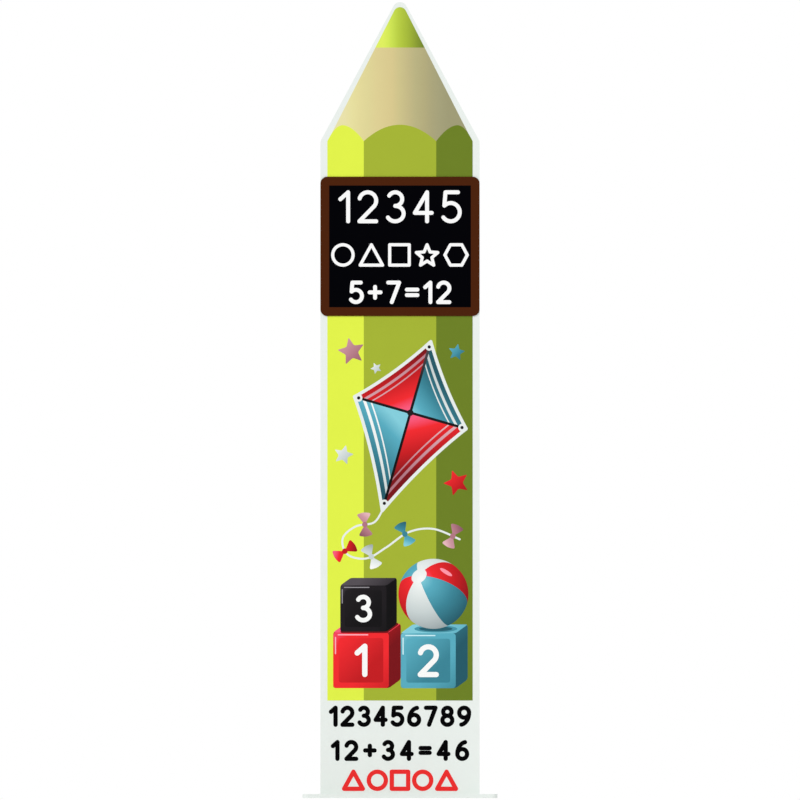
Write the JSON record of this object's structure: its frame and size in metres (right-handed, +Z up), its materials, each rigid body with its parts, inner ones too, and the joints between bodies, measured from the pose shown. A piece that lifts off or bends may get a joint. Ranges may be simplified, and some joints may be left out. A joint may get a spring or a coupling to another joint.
{
  "type": "pencil-shaped road sign",
  "caption": "Upright pencil-shaped sign: aluminium sheet with edge angles, printed film and a name board, held by rails and clamps on a rectangular post with a base plate.",
  "frame": {"origin": "middle of the base plate's underside", "axes": "+X to the right as seen from the front, the printed side faces -Y, +Z up"},
  "size_m": [0.49, 0.25, 2],
  "materials": {
    "coat": "pale white powder coat, satin",
    "film": "printed sign film under a clear laminate",
    "board": "brown coat, satin",
    "board_film": "printed sign film under a clear laminate",
    "rail": "extruded, mill finish",
    "zinc": "hot-dip galvanised",
    "fasteners": "bright zinc plate",
    "cap": "moulded, fine matt"
  },
  "bodies": {
    "root": {"base_plate": "coat", "post": "coat", "post_cap": "cap", "gusset_left": "coat", "gusset_right": "coat", "gusset_rear": "coat", "panel_sheet": "coat", "foot_angle": "coat", "side_angle_left": "coat", "side_angle_right": "coat", "slope_angle_left": "coat", "slope_angle_right": "coat", "printed_film": "film", "name_board": "board", "board_film": "board_film", "rail_1": "rail", "rail_2": "rail", "rail_3": "rail", "rail_4": "rail", "rail_5": "rail", "clamp_1": "zinc", "clamp_2": "zinc", "clamp_3": "zinc", "clamp_4": "zinc", "clamp_5": "zinc", "clamp_bolts": "fasteners", "clamp_washers": "fasteners", "clamp_nuts": "fasteners", "foot_bolts": "fasteners", "foot_washers": "fasteners", "board_studs": "fasteners", "board_washers": "fasteners", "board_nuts": "fasteners"}
  },
  "joints": []
}
